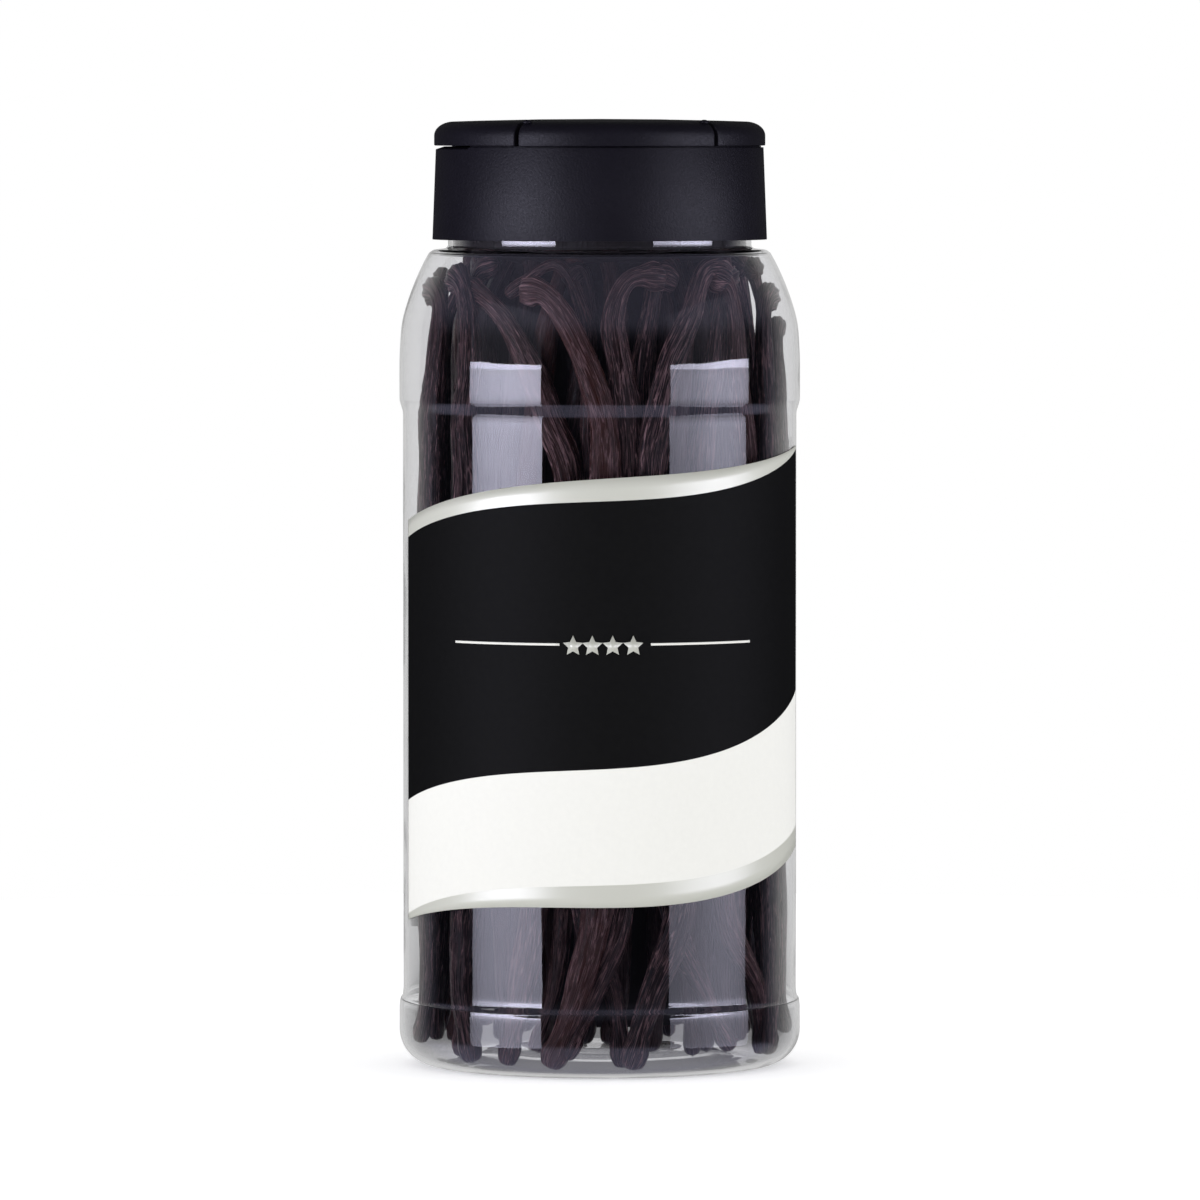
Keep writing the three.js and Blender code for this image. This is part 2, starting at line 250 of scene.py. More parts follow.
def turned(profile, steps=TURN_STEPS):
    """A shape turned round the Z axis from (radius, height) points."""
    shape = bmesh.new()
    points = [shape.verts.new((radius, 0, height)) for radius, height in profile]
    lines = [shape.edges.new(pair) for pair in zip(points, points[1:])]
    bmesh.ops.spin(
        shape, geom=points + lines, axis=(0, 0, 1), cent=(0, 0, 0), angle=2 * math.pi,
        steps=steps, use_merge=True,
    )
    bmesh.ops.remove_doubles(shape, verts=shape.verts, dist=1e-4)
    bmesh.ops.recalc_face_normals(shape, faces=shape.faces)
    return shape


def upright_prism(outline, bottom, top):
    """A closed prism over a flat outline of (x, y) points."""
    shape = bmesh.new()
    base = shape.faces.new([shape.verts.new((x, y, bottom)) for x, y in outline])
    raised = bmesh.ops.extrude_face_region(shape, geom=[base])["geom"]
    moved = [v for v in raised if isinstance(v, bmesh.types.BMVert)]
    bmesh.ops.translate(shape, vec=(0, 0, top - bottom), verts=moved)
    bmesh.ops.recalc_face_normals(shape, faces=shape.faces)
    return shape


def to_object(name, shape):
    """An object in metres from a shape in millimetres."""
    bmesh.ops.scale(shape, vec=(MM, MM, MM), verts=shape.verts)
    mesh = bpy.data.meshes.new(name)
    shape.to_mesh(mesh)
    shape.free()
    obj = bpy.data.objects.new(name, mesh)
    bpy.context.scene.collection.objects.link(obj)
    return obj


def combined(name, shape, other, operation):
    """The first shape cut, joined or limited by another one."""
    body = to_object(name, shape)
    tool = to_object(name + "_tool", other)
    change = body.modifiers.new("combine", "BOOLEAN")
    change.operation = operation
    change.solver = "MANIFOLD"
    change.object = tool
    bpy.context.view_layer.update()
    evaluated = body.evaluated_get(bpy.context.evaluated_depsgraph_get())
    result = bmesh.new()
    result.from_mesh(evaluated.to_mesh())
    bmesh.ops.scale(result, vec=(1 / MM, 1 / MM, 1 / MM), verts=result.verts)
    bpy.data.objects.remove(body)
    bpy.data.objects.remove(tool)
    return result


def soften_edges(shape, width, angle=35, segments=2):
    """Rounds every edge sharper than the angle."""
    bmesh.ops.dissolve_degenerate(shape, edges=shape.edges, dist=0.002)
    sharp = [
        e for e in shape.edges
        if len(e.link_faces) == 2 and e.calc_face_angle(0) > math.radians(angle)
    ]
    bmesh.ops.bevel(
        shape, geom=sharp, offset=width, offset_type="OFFSET", segments=segments, profile=0.5,
        affect="EDGES", material=-1, clamp_overlap=True,
    )


def finish_piece(name, shape, materials, node, sharp=38):
    """A finished piece that rides on the part and stands for a solid of the frame."""
    for face in shape.faces:
        face.smooth = True
    for edge in shape.edges:
        edge.smooth = len(edge.link_faces) == 2 and edge.calc_face_angle(0) < math.radians(sharp)
    obj = to_object(name, shape)
    for material in materials:
        obj.data.materials.append(material)
    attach(obj, "root")
    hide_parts(node)
    return obj


# Materials


def linear(code):
    """A linear colour from an sRGB hex code."""
    parts = [int(code[i:i + 2], 16) / 255 for i in (1, 3, 5)]
    return tuple(p / 12.92 if p <= 0.04045 else ((p + 0.055) / 1.055) ** 2.4 for p in parts) + (1,)


def add(tree, kind, inputs=None, **settings):
    """Adds a node with its settings. Inputs are values, or sockets that get linked."""
    made = tree.nodes.new(kind)
    for name, value in settings.items():
        setattr(made, name, value)
    for name, value in (inputs or {}).items():
        if isinstance(value, bpy.types.NodeSocket):
            tree.links.new(value, made.inputs[name])
        else:
            made.inputs[name].default_value = value
    return made


def ramp(tree, factor, stops):
    """A colour ramp through (position, colour) pairs."""
    made = add(tree, "ShaderNodeValToRGB", {"Fac": factor})
    elements = made.color_ramp.elements
    elements.remove(elements[1])
    elements[0].position, elements[0].color = stops[0]
    for position, colour in stops[1:]:
        elements.new(position).color = colour
    return made.outputs[0]


def new_material(name):
    material = bpy.data.materials.new(name)
    material.use_nodes = True
    material.node_tree.nodes.clear()
    return material, material.node_tree


def show(tree, surface):
    add(tree, "ShaderNodeOutputMaterial", {"Surface": surface})


def clear_pet():
    """Blown PET: clear as glass, with the faint waviness that blowing leaves in the reflections."""
    material, tree = new_material("clear_blown_pet")
    place = add(tree, "ShaderNodeTexCoord").outputs["Object"]
    waves = add(tree, "ShaderNodeTexNoise", {"Vector": place, "Scale": 70, "Detail": 1})
    wavy = add(tree, "ShaderNodeBump", {"Height": waves.outputs["Fac"], "Strength": 0.1, "Distance": 0.0006})
    glass = add(tree, "ShaderNodeBsdfPrincipled", {
        "Base Color": linear("#f7f7f8"), "Roughness": 0.0, "IOR": 1.575, "Transmission Weight": 1.0,
        "Normal": wavy.outputs["Normal"],
    })
    # Lamps shine through the thin wall
    open_wall = add(tree, "ShaderNodeBsdfTransparent", {"Color": linear("#f5f5f5")})
    path = add(tree, "ShaderNodeLightPath")
    both = add(tree, "ShaderNodeMixShader", {
        0: path.outputs["Is Shadow Ray"], 1: glass.outputs[0], 2: open_wall.outputs[0],
    })
    show(tree, both.outputs[0])
    return material


def grained_polypropylene():
    """Black moulded polypropylene: a fine spark-eroded grain breaks its soft, slightly violet shine."""
    material, tree = new_material("grained_black_polypropylene")
    place = add(tree, "ShaderNodeTexCoord").outputs["Object"]
    grain = add(tree, "ShaderNodeTexNoise", {"Vector": place, "Scale": 2200, "Detail": 2, "Roughness": 0.6})
    bump = add(tree, "ShaderNodeBump", {"Height": grain.outputs["Fac"], "Strength": 0.6, "Distance": 0.00012})
    cloud = add(tree, "ShaderNodeTexNoise", {"Vector": place, "Scale": 90, "Detail": 3})
    shade = add(tree, "ShaderNodeMix", {
        0: cloud.outputs["Fac"], 6: linear("#0d0b13"), 7: linear("#13111a"),
    }, data_type="RGBA")
    rough = add(tree, "ShaderNodeMapRange", {
        "Value": grain.outputs["Fac"], "From Min": 0.3, "From Max": 0.7, "To Min": 0.38, "To Max": 0.52,
    })
    plastic = add(tree, "ShaderNodeBsdfPrincipled", {
        "Base Color": shade.outputs[2], "Roughness": rough.outputs[0], "IOR": 1.49,
        "Specular IOR Level": 0.26, "Normal": bump.outputs["Normal"],
    })
    show(tree, plastic.outputs[0])
    return material


def printed_film(name, code, roughness, gloss, unevenness):
    """Printed polypropylene film: flat ink with the faint mottle of flexo print."""
    material, tree = new_material(name)
    place = add(tree, "ShaderNodeTexCoord").outputs["Object"]
    mottle = add(tree, "ShaderNodeTexNoise", {"Vector": place, "Scale": 900, "Detail": 3})
    level = add(tree, "ShaderNodeMapRange", {
        "Value": mottle.outputs["Fac"], "From Min": 0.3, "From Max": 0.7,
        "To Min": 1 - unevenness, "To Max": 1 + unevenness,
    })
    ink = add(tree, "ShaderNodeVectorMath", {
        0: linear(code)[:3], "Scale": level.outputs[0],
    }, operation="SCALE")
    film = add(tree, "ShaderNodeBsdfPrincipled", {
        "Base Color": ink.outputs[0], "Roughness": roughness, "Specular IOR Level": gloss,
    })
    show(tree, film.outputs[0])
    return material


def stretched_foil():
    """Cream-silver metallised film, one colour all over. Its light and shade come from the studio."""
    material, tree = new_material("stretched_silver_foil")
    film = add(tree, "ShaderNodeBsdfPrincipled", {
        "Base Color": linear("#d2d3c6"), "Roughness": 0.38, "Metallic": 0.25, "Specular IOR Level": 0.5,
    })
    show(tree, film.outputs[0])
    return material


def cured_pod(name, wrinkle_and_highlight_code):
    """Cured vanilla: nearly black oily skin, wrinkled lengthwise. Its wrinkles are paler and redder, partly
    in the skin's own colour, partly as painted highlight.
    """
    material, tree = new_material(name)
    own = add(tree, "ShaderNodeUVMap", uv_map="UVMap").outputs["UV"]
    tint = add(tree, "ShaderNodeAttribute", attribute_name="tint").outputs["Fac"]
    ridge = add(tree, "ShaderNodeAttribute", attribute_name="ridge").outputs["Fac"]
    fine_place = add(tree, "ShaderNodeMapping", {"Vector": own, "Scale": (34, 9, 1)})
    fine = add(tree, "ShaderNodeTexNoise", {
        "Vector": fine_place.outputs[0], "Scale": 1, "Detail": 3, "Roughness": 0.55, "Distortion": 0.5,
    })
    broad_place = add(tree, "ShaderNodeMapping", {"Vector": own, "Scale": (5, 6, 1)})
    broad = add(tree, "ShaderNodeTexNoise", {"Vector": broad_place.outputs[0], "Scale": 1, "Detail": 3})
    skin = add(tree, "ShaderNodeMix", {
        0: broad.outputs["Fac"], 6: linear("#070304"), 7: linear("#211112"),
    }, data_type="RGBA")
    redden = add(tree, "ShaderNodeMath", {0: tint, 1: 0.75}, operation="MULTIPLY")
    reddish = add(tree, "ShaderNodeMix", {
        0: redden.outputs[0], 6: skin.outputs[2], 7: linear("#47241b"),
    }, data_type="RGBA")
    # Thin raised lines run where the noise passes its middle
    offset = add(tree, "ShaderNodeMath", {0: fine.outputs["Fac"], 1: 0.5}, operation="SUBTRACT")
    distance = add(tree, "ShaderNodeMath", {0: offset.outputs[0]}, operation="ABSOLUTE")
    line = add(tree, "ShaderNodeMapRange", {
        "Value": distance.outputs[0], "From Min": 0.0, "From Max": 0.05, "To Min": 1, "To Max": 0,
    }, interpolation_type="SMOOTHSTEP")
    shown = add(tree, "ShaderNodeMapRange", {"Value": ridge, "From Max": 0.6, "To Min": 0.35, "To Max": 1})
    crest = add(tree, "ShaderNodeMath", {0: line.outputs[0], 1: shown.outputs[0]}, operation="MULTIPLY")
    # Paler on the crests: partly the skin's own colour, partly a painted highlight
    crest_colour_and_highlight = add(tree, "ShaderNodeMix", {
        0: crest.outputs[0], 6: reddish.outputs[2], 7: linear(wrinkle_and_highlight_code),
    }, data_type="RGBA")
    rough = add(tree, "ShaderNodeMapRange", {
        "Value": fine.outputs["Fac"], "From Min": 0.3, "From Max": 0.7, "To Min": 0.45, "To Max": 0.24,
    })
    bump = add(tree, "ShaderNodeBump", {"Height": line.outputs[0], "Strength": 0.7, "Distance": 0.0004})
    flesh = add(tree, "ShaderNodeBsdfPrincipled", {
        "Base Color": crest_colour_and_highlight.outputs[2], "Roughness": rough.outputs[0], "IOR": 1.48,
        "Normal": bump.outputs["Normal"],
    })
    show(tree, flesh.outputs[0])
    return material


def packed_pods_painted_shade():
    """The dark middle of the bundle, only seen between the pods: packed pods in their own dark colour,
    deepened as painted shade.
    """
    material, tree = new_material("packed_pods_painted_shade")
    place = add(tree, "ShaderNodeTexCoord").outputs["Object"]
    stretched = add(tree, "ShaderNodeMapping", {"Vector": place, "Scale": (260, 260, 18)})
    streaks = add(tree, "ShaderNodeTexNoise", {"Vector": stretched.outputs[0], "Scale": 1, "Detail": 4})
    # Near black: the pods' own dark colour, deepened as painted shade
    shade = add(tree, "ShaderNodeMix", {
        0: streaks.outputs["Fac"], 6: linear("#060304"), 7: linear("#1a1011"),
    }, data_type="RGBA")
    bump = add(tree, "ShaderNodeBump", {"Height": streaks.outputs["Fac"], "Strength": 0.8, "Distance": 0.001})
    flesh = add(tree, "ShaderNodeBsdfPrincipled", {
        "Base Color": shade.outputs[2], "Roughness": 0.6, "Normal": bump.outputs["Normal"],
    })
    show(tree, flesh.outputs[0])
    return material


def glowing_acrylic():
    """The white acrylic of a light table: pale, and a little lit from below."""
    material, tree = new_material("white_acrylic_table")
    table = add(tree, "ShaderNodeBsdfPrincipled", {
        "Base Color": linear("#f4f4f4"), "Roughness": 0.6, "Emission Color": (1, 1, 1, 1),
        "Emission Strength": 0.5,
    })
    show(tree, table.outputs[0])
    return material


# Pieces


def jar():
    """The blown body: one turned profile from the base's middle to the mouth, with a wall put on."""
    base = smooth_line([(0, PUSH_UP), (12, PUSH_UP - 0.2), (22, 2.1), (27.4, 0.5), (FOOT_IN_R, 0)], 5)
    corner = arc((FOOT_OUT_R, CORNER_R), (CORNER_R, CORNER_R), -90, 0, 14)
    lower_step = smooth_line([
        (JAR_R, 10.4), (JAR_R, 11.0), (JAR_R - 0.005, 11.5), (JAR_R - 0.024, 11.9), (JAR_R - 0.06, 12.25),
        (JAR_R - 0.124, 12.75), (JAR_R - 0.15, 12.95), (JAR_R - 0.24, 13.3), (PANEL_R + 0.24, 13.8),
        (PANEL_R + 0.14, 14.15), (PANEL_R + 0.111, 14.4), (PANEL_R + 0.054, 14.9), (PANEL_R + 0.015, 15.3),
        (PANEL_R, 15.9), (PANEL_R, 17.5),
    ], 4)
    upper_step = smooth_line([
        (PANEL_R, 128.5), (PANEL_R, 130.1), (PANEL_R + 0.06, 130.75), (BAND_R - 0.06, 132.8),
        (BAND_R - 0.008, 133.5), (BAND_R, 134.3), (BAND_R, 135.2),
    ], 4)
    shoulder = smooth_line([
        (BAND_R, 139), (BAND_R, 140.4), (39.88, 143.8), (39.48, 148.4), (38.5, 152.2), (36.9, 156.6),
        (35.2, 160.3), (34.1, 162.3),
    ], 5)
    neck = smooth_line([
        (34.1, 162.3), (33.2, 162.9), (31.6, 163.1), (30.6, 163.35), (NECK_R, 163.8), (NECK_R, 164.2),
        (NECK_R, 166),
    ], 4)
    profile = [*base, *corner, *lower_step, *upper_step, *shoulder, *neck[1:], (NECK_R, MOUTH_Z)]
    shell = finish_piece("jar_shell", turned(profile), [clear_pet()], "jar", sharp=80)
    wall = shell.modifiers.new("wall", "SOLIDIFY")
    wall.thickness = WALL * MM
    wall.offset = -1
    wall.use_even_offset = True
    return shell


def lid_blank():
    """The lid's disc, slightly domed, with a rounded edge."""
    middle = (LID_R - LID_EDGE_IN, LID_TOP - LID_SHOULDER_DROP - LID_EDGE_UP)
    edge = arc(middle, (LID_EDGE_IN, LID_EDGE_UP), 0, 90, 10)
    dome = [(radius, LID_TOP - drop) for radius, drop in LID_DOME]
    return turned([(0, LID_BOTTOM), (LID_R, LID_BOTTOM), *edge, *dome])


def flap_prism(side, inset, bottom, top):
    """An upright prism over one flap: two radial sides and a hinge line, each moved in by `inset`."""
    half = math.radians(FLAP_SPREAD / 2)
    hinge, reach = HINGE_X + inset, LID_R + 5

    def side_at(x):
        return (x * math.sin(half) - inset) / math.cos(half)

    outline = [
        (hinge, -side_at(hinge)), (reach, -side_at(reach)), (reach, side_at(reach)), (hinge, side_at(hinge)),
    ]
    turn = math.radians(FLAP_ANGLES[side] - 90)
    turned_outline = [
        (x * math.cos(turn) - y * math.sin(turn), x * math.sin(turn) + y * math.cos(turn)) for x, y in outline
    ]
    return upright_prism(turned_outline, bottom, top)


def finger_notch():
    """The wedge of space under the left flap's rim that a finger lifts it by."""
    reach = LID_R + 2
    ring = turned([
        (NOTCH_R, LID_BOTTOM), (reach, LID_BOTTOM - NOTCH_DEPTH), (reach, LID_BOTTOM + 0.1),
        (NOTCH_R, LID_BOTTOM),
    ])
    angles = np.linspace(-NOTCH_SPREAD / 2, NOTCH_SPREAD / 2, 13) + FLAP_ANGLES["left"]
    outline = [around(r, a, 0)[:2] for r, line in ((reach + 2, angles), (20, angles[::-1])) for a in line]
    return combined("notch", ring, upright_prism(outline, CAP_BOTTOM, LID_TOP), "INTERSECT")


def cap(plastic):
    """The cap's pieces: the skirt with its deck, the bridge and the two flaps."""
    skirt = turned([
        (0, DECK_BOTTOM), (CAP_TOP_R - CAP_WALL, DECK_BOTTOM), (CAP_BOTTOM_R - CAP_WALL, CAP_BOTTOM),
        (CAP_BOTTOM_R, CAP_BOTTOM), (CAP_TOP_R, DECK_TOP), (SEAT_R, DECK_TOP), (SEAT_R, SEAT_TOP),
        (SEAT_R - SEAT_THICK, SEAT_TOP), (SEAT_R - SEAT_THICK, DECK_TOP), (0, DECK_TOP),
    ])
    skirt = combined("skirt", skirt, finger_notch(), "DIFFERENCE")
    soften_edges(skirt, SKIRT_ROUNDING)
    pieces = [finish_piece("cap_skirt", skirt, [plastic], "cap")]

    foot = turned([
        (0, DECK_TOP - 0.5), (GROOVE_R, DECK_TOP - 0.5), (GROOVE_R, LID_BOTTOM + 0.5), (0, LID_BOTTOM + 0.5),
    ])
    bridge = combined("bridge", lid_blank(), foot, "UNION")
    for side in FLAP_ANGLES:
        space = flap_prism(side, -SLIT / 2, DECK_TOP - 1, LID_TOP + 5)
        bridge = combined("bridge", bridge, space, "DIFFERENCE")
    soften_edges(bridge, LID_ROUNDING)
    for angle in BUMP_ANGLES:
        bump = bmesh.ops.create_uvsphere(bridge, u_segments=20, v_segments=12, radius=1)["verts"]
        bmesh.ops.scale(bridge, vec=BUMP_SIZE, verts=bump)
        bmesh.ops.translate(bridge, vec=around(BUMP_R, angle, LID_TOP - BUMP_DROP), verts=bump)
    pieces.append(finish_piece("cap_bridge", bridge, [plastic], "cap"))

    for side in FLAP_ANGLES:
        space = flap_prism(side, SLIT / 2, LID_BOTTOM - 1, LID_TOP + 5)
        flap = combined("flap", lid_blank(), space, "INTERSECT")
        soften_edges(flap, LID_ROUNDING)
        node = f"cap_flap_{side}"
        pieces.append(finish_piece(node + "_shell", flap, [plastic], node))
    return pieces


def wave_height(wave, angle):
    """The height of one of the label's wavy lines at an angle."""
    middle, right, front, steepen = wave
    turn = math.radians(angle)
    return middle + right * math.sin(turn) + front * math.cos(turn) + steepen * math.sin(2 * turn)


def front_lines(angle):
    """Heights of the label's lines at an angle, from the bottom up."""
    waves = (LABEL_BOTTOM, WHITE_BOTTOM, BLACK_BOTTOM, BLACK_TOP, LABEL_TOP)
    return [wave_height(wave, angle) for wave in waves]


def back_lines(angle):
    """The same for the back label, whose metallic bands are even."""
    bottom, _, middle, _, top = front_lines(angle)
    return [bottom, bottom + SILVER_BAND, middle, top - SILVER_BAND, top]


def bend_patch(patch, angle, height):
    """Bends a flat patch of print round the label, just over its film."""
    radius = PANEL_R + 2 * LABEL_THICK
    for vertex in patch:
        vertex.co = around(radius, angle + math.degrees(vertex.co.x / radius), height + vertex.co.y)


def add_rule_and_stars(film):
    """Two thin rules with a row of stars between them."""
    for start, end in RULES:
        length = math.radians(end - start) * PANEL_R
        rule = bmesh.ops.create_grid(film, x_segments=16, y_segments=1, size=0.5)["verts"]
        bmesh.ops.scale(film, vec=(length, RULE_WIDTH, 1), verts=rule)
        bend_patch(rule, (start + end) / 2, RULE_HEIGHT)
        for face in {f for v in rule for f in v.link_faces}:
            face.material_index = 1
    for angle in STARS:
        star = bmesh.ops.create_circle(film, cap_ends=True, segments=10, radius=STAR_R)["verts"]
        bmesh.ops.scale(film, vec=(STAR_WAIST, STAR_WAIST, 1), verts=star[1::2])
        bend_patch(star, angle, STAR_HEIGHT)
        for face in {f for v in star for f in v.link_faces}:
            face.material_index = 0


def label(name, node, span, lines, inks, reverse, extra=None):
    """A film on the jar's panel. Each band of the print is a strip of faces with its own ink."""
    edges = np.cumsum((0, *BAND_ROWS))
    shape = bmesh.new()
    grid = bmesh.ops.create_grid(shape, x_segments=LABEL_COLUMNS, y_segments=int(edges[-1]), size=0.5)
    for face in shape.faces:
        row = (face.calc_center_median().y + 0.5) * edges[-1]
        band = int(np.searchsorted(edges, row) - 1)
        face.material_index = (0, 1, 2, 0)[band]
    for vertex in grid["verts"]:
        angle = span[0] + (span[1] - span[0]) * (vertex.co.x + 0.5)
        row = (vertex.co.y + 0.5) * edges[-1]
        height = float(np.interp(row, edges, lines(angle)))
        vertex.co = around(PANEL_R + LABEL_GAP, angle, height)
    if extra:
        extra(shape)
    shape.normal_update()
    inward = [f for f in shape.faces if f.normal.xy.dot(f.calc_center_median().xy) < 0]
    bmesh.ops.reverse_faces(shape, faces=inward)
    film = finish_piece(name, shape, [*inks, *[reverse] * 3], node)
    for edge in film.data.edges:
        edge.use_edge_sharp = False
    skin = film.modifiers.new("film", "SOLIDIFY")
    skin.thickness = LABEL_THICK * MM
    skin.offset = 1
    skin.material_offset = len(inks)
    return film


def ring_pods(draw, count, start, end, inward, stray):
    """Pods at even steps round the ring, each with its own lean, hook and girth."""
    shapes = []
    for i in range(count):
        angle = start + (end - start) * (i + 0.5) / count
        low, waist, high = (angle + draw.between(-stray, stray) for _ in range(3))
        angles = tuple(np.interp(POD_LEVELS, (3, 118, 150), (low, waist, high)))
        foot = (low + draw.between(-5, 5), draw.between(2, 6) + 0.1 * inward)
        top = draw.between(155, 162) + 0.6 * inward
        hook = draw.between(5, 15) * (-1 if draw.between(-1, 1) < 0 else 1)
        tip = (high + hook, top - draw.between(-1, 3))
        shapes.append((foot, angles, (high + 0.5 * hook, top), tip, inward, draw.between(0.8, 1)))
    return shapes


def pod_line(shape):
    """The middle line of a pod, from its foot to its hooked tip."""
    foot, angles, bend, tip, inward, _ = shape
    stations = [pair for pair in zip(angles, POD_LEVELS) if foot[1] + 4 < pair[1] < bend[1] - 3]
    ring = np.array(POD_RING)
    return smooth_line([
        around(float(np.interp(z, ring[:, 0], ring[:, 1])) - inward, angle, z)
        for angle, z in (foot, *stations, bend, tip)
    ], 20)


def add_pod(shape, heap, draw, sides, rows):
    """A wrinkled pod: a grid wrapped into a flattened tube and bent along its middle line."""
    line = pod_line(shape)
    lengths = np.concatenate([[0], np.cumsum(np.linalg.norm(np.diff(line, axis=0), axis=1))])
    girth = smooth_line(POD_GIRTH, 6)
    phases = [draw.between(0, 2 * math.pi) for _ in range(9)]
    twist = draw.between(-0.9, 0.9)
    tint = draw.between(0, 1) ** 3
    offset = draw.between(0, 40)
    grid = bmesh.ops.create_grid(heap, x_segments=sides, y_segments=rows, size=0.5)["verts"]
    place = np.array([v.co for v in grid]) + 0.5
    round_share, row = place[:, 0], place[:, 1]
    share = np.clip(row - 0.75 * np.sin(2 * math.pi * row) / (2 * math.pi), 0, 1)  # closer rows at the ends
    at = share * lengths[-1]

    def along_line(distance):
        return np.stack([np.interp(distance, lengths, line[:, k]) for k in range(3)], 1)

    def unit(vectors):
        return vectors / np.linalg.norm(vectors, axis=1)[:, None]

    middle = along_line(at)
    along = unit(along_line(at + 0.8) - along_line(at - 0.8))
    out = unit(middle * (1, 1, 0))
    out = unit(out - along * np.sum(out * along, axis=1)[:, None])
    side = np.cross(along, out)

    turn = 2 * math.pi * round_share + math.pi
    wander = 0.35 * np.sin(11 * share + phases[0]) + 0.16 * np.sin(29 * share + phases[1]) + twist * share

    def crests(count, drift, shift, sharpness):
        return (1 - np.abs(np.sin(count / 2 * (turn + drift) + shift))) ** sharpness

    def swell(turns, shift):
        return 0.5 + 0.5 * np.sin(turns * share + 2 * np.cos(turn + shift) + shift)

    broad = crests(9, wander, phases[2], 1.2) * (0.4 + 0.6 * swell(19, phases[3]))
    fine = crests(19, 1.3 * wander, phases[4], 1.4) * (0.3 + 0.7 * swell(37, phases[5]))
    body = np.interp(share, girth[:, 0], girth[:, 1]) * shape[5]
    body *= 1 + 0.05 * np.sin(27 * share + phases[6]) + 0.04 * np.sin(61 * share + phases[7])
    body *= 1 + 0.07 * np.sin(2 * turn + phases[8] + 6 * share)
    radius = body * (0.78 + 0.15 * broad + 0.08 * fine)
    bent = middle + out * (np.cos(turn) * radius * POD_HALF_THICK)[:, None]
    bent += side * (np.sin(turn) * radius * POD_HALF_WIDTH)[:, None]
    uv = heap.loops.layers.uv["UVMap"]
    tints, ridges = (heap.verts.layers.float[name] for name in ("tint", "ridge"))
    crest = 0.6 * broad + 0.5 * fine
    for vertex, point, u, v, height in zip(grid, bent, round_share, at / 100, crest):
        vertex.co = point
        vertex[tints] = tint
        vertex[ridges] = height
        for loop in vertex.link_loops:
            loop[uv].uv = (u, v + offset)
    bmesh.ops.remove_doubles(heap, verts=grid, dist=1e-4)


def pod_piece(name, shapes, draw, skin, sides, rows):
    """One piece of many pods, with a map along each pod and its tint and ridges as attributes."""
    heap = bmesh.new()
    heap.loops.layers.uv.new("UVMap")
    for layer in ("tint", "ridge"):
        heap.verts.layers.float.new(layer)
    for shape in shapes:
        add_pod(shape, heap, draw, sides, rows)
    bmesh.ops.recalc_face_normals(heap, faces=heap.faces)
    finish_piece(name, heap, [skin], "vanilla_pods", sharp=120)


def pods():
    """The pods at the front as the photo shows them, two rings of others, and what is packed inside."""
    draw = Draw(RANDOM_START)
    # Wrinkle colour: partly the skin's own, partly a painted highlight
    skin = cured_pod("cured_vanilla_pod", "#b48e8e")
    # A darker copy for the inner pods: painted shade deep in the bundle
    painted_shade_skin = cured_pod("cured_vanilla_pod_painted_shade", "#624e4e")
    back = ring_pods(draw, BACK_PODS, *BACK_SPREAD, inward=0, stray=5)
    inner = ring_pods(draw, INNER_PODS, 0, 360, inward=INNER_DEPTH, stray=9)
    pod_piece("pods_front", FRONT_PODS, draw, skin, sides=54, rows=118)
    pod_piece("pods_back", back, draw, skin, sides=36, rows=84)
    pod_piece("pods_inner", inner, draw, painted_shade_skin, sides=24, rows=70)
    core = turned([
        (0, 9), (CORE_R - 4, 9), (CORE_R, 15), (CORE_R, 146), (CORE_R - 4, 157), (CORE_R - 2, 160.5),
        (NECK_TIPS_R, 162.6), (NECK_TIPS_R, 166.5), (0, 167),
    ], 48)
    finish_piece("pods_core", core, [packed_pods_painted_shade()], "vanilla_pods")


# Studio


def floor():
    """The light table that the jar stands on."""
    shape = bmesh.new()
    bmesh.ops.create_circle(shape, cap_ends=True, cap_tris=True, segments=96, radius=FLOOR_R)
    table = to_object("floor", shape)
    table.data.materials.append(glowing_acrylic())
    table.visible_glossy = False
    table.visible_transmission = False


def softbox(name, angle, width, power, upright, across, only=()):
    """A tall soft light beside the camera, mirrored by the jar and not seen by itself. It can be kept to
    some pieces only."""
    bottom, top = upright[0][0], upright[-1][0]
    height = top - bottom
    lamp = bpy.data.lights.new(name, "AREA")
    lamp.shape = "RECTANGLE"
    lamp.size, lamp.size_y = width, height
    lamp.energy = power
    lamp.color = linear("#e8e7ff")[:3]
    lamp.use_nodes = True
    tree = lamp.node_tree
    tree.nodes.clear()
    place = add(tree, "ShaderNodeSeparateXYZ", {
        "Vector": add(tree, "ShaderNodeNewGeometry").outputs["Parametric"],
    })
    shares = [((z - bottom) / height, level) for z, level in upright]
    levels = [
        ramp(tree, place.outputs[axis], [(share, (level, level, level, 1)) for share, level in stops])
        for axis, stops in (("Y", shares), ("X", across))
    ]
    level = add(tree, "ShaderNodeMath", {0: levels[0], 1: levels[1]}, operation="MULTIPLY")
    glow = add(tree, "ShaderNodeEmission", {"Strength": level.outputs[0]})
    add(tree, "ShaderNodeOutputLight", {"Surface": glow.outputs[0]})
    box = bpy.data.objects.new(name, lamp)
    x, y, _ = around(LAMP_DISTANCE, angle, 0)
    box.location = (x, y, (bottom + top) / 2)
    box.rotation_euler = Vector((x, y, 0)).to_track_quat("Z", "Y").to_euler()
    box.visible_camera = False
    box.visible_transmission = False
    bpy.context.scene.collection.objects.link(box)
    if only:
        lit = bpy.data.collections.new(name + "_pieces")
        for piece in only:
            lit.objects.link(piece)
        box.light_linking.receiver_collection = lit


